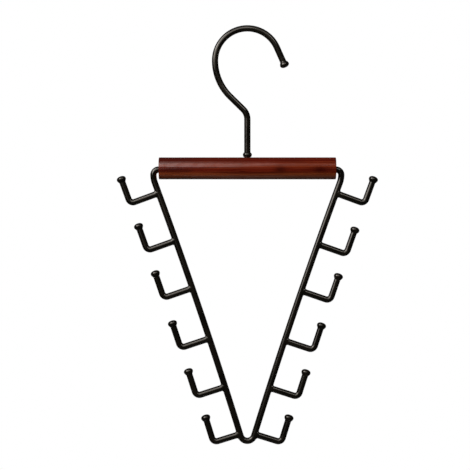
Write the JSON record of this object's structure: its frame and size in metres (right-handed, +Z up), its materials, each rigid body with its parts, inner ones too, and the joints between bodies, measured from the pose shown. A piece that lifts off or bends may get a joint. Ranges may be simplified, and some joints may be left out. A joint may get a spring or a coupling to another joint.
{
  "type": "multi-hook hanger",
  "caption": "Wire hanger for belts, ties and scarves: a swivelling rod hook, a turned wooden bar and a swinging V-shaped frame with a row of small side hooks down each leg.",
  "frame": {"origin": "the seat inside the crown of the rod hook, the point that rests on a closet rod", "axes": "+Z up, +X to the right as seen from the front, +Y away from the viewer; the wires lie in the plane y = 0"},
  "size_m": [0.2248, 0.019, 0.3612],
  "materials": {
    "black_enamel": "semi-gloss black coating on steel wire",
    "lacquered_wood": "red-brown stain under clear gloss lacquer",
    "zinc_plate": "bright zinc plate"
  },
  "bodies": {
    "rod_hook": {"swivel_hook": "black_enamel", "hook_tip": "black_enamel", "stop_collar": "black_enamel"},
    "cross_bar": {"wood_bar": "lacquered_wood", "bar_plug": "lacquered_wood", "stem_washer": "zinc_plate"},
    "hook_frame": {"v_frame": "black_enamel", "left_hook_1": "black_enamel", "left_hook_2": "black_enamel", "left_hook_3": "black_enamel", "left_hook_4": "black_enamel", "left_hook_5": "black_enamel", "left_hook_6": "black_enamel", "right_hook_1": "black_enamel", "right_hook_2": "black_enamel", "right_hook_3": "black_enamel", "right_hook_4": "black_enamel", "right_hook_5": "black_enamel", "right_hook_6": "black_enamel", "left_tip_1": "black_enamel", "left_tip_2": "black_enamel", "left_tip_3": "black_enamel", "left_tip_4": "black_enamel", "left_tip_5": "black_enamel", "left_tip_6": "black_enamel", "right_tip_1": "black_enamel", "right_tip_2": "black_enamel", "right_tip_3": "black_enamel", "right_tip_4": "black_enamel", "right_tip_5": "black_enamel", "right_tip_6": "black_enamel"}
  },
  "joints": [
    {"name": "hook_swivel", "type": "hinge", "parent": "rod_hook", "child": "cross_bar", "pos_m": [0, 0, -0.11796], "axis": [0, 0, 1], "continuous": true},
    {"name": "frame_swing", "type": "hinge", "parent": "cross_bar", "child": "hook_frame", "pos_m": [0, 0, -0.11896], "axis": [1, 0, 0], "continuous": true}
  ]
}
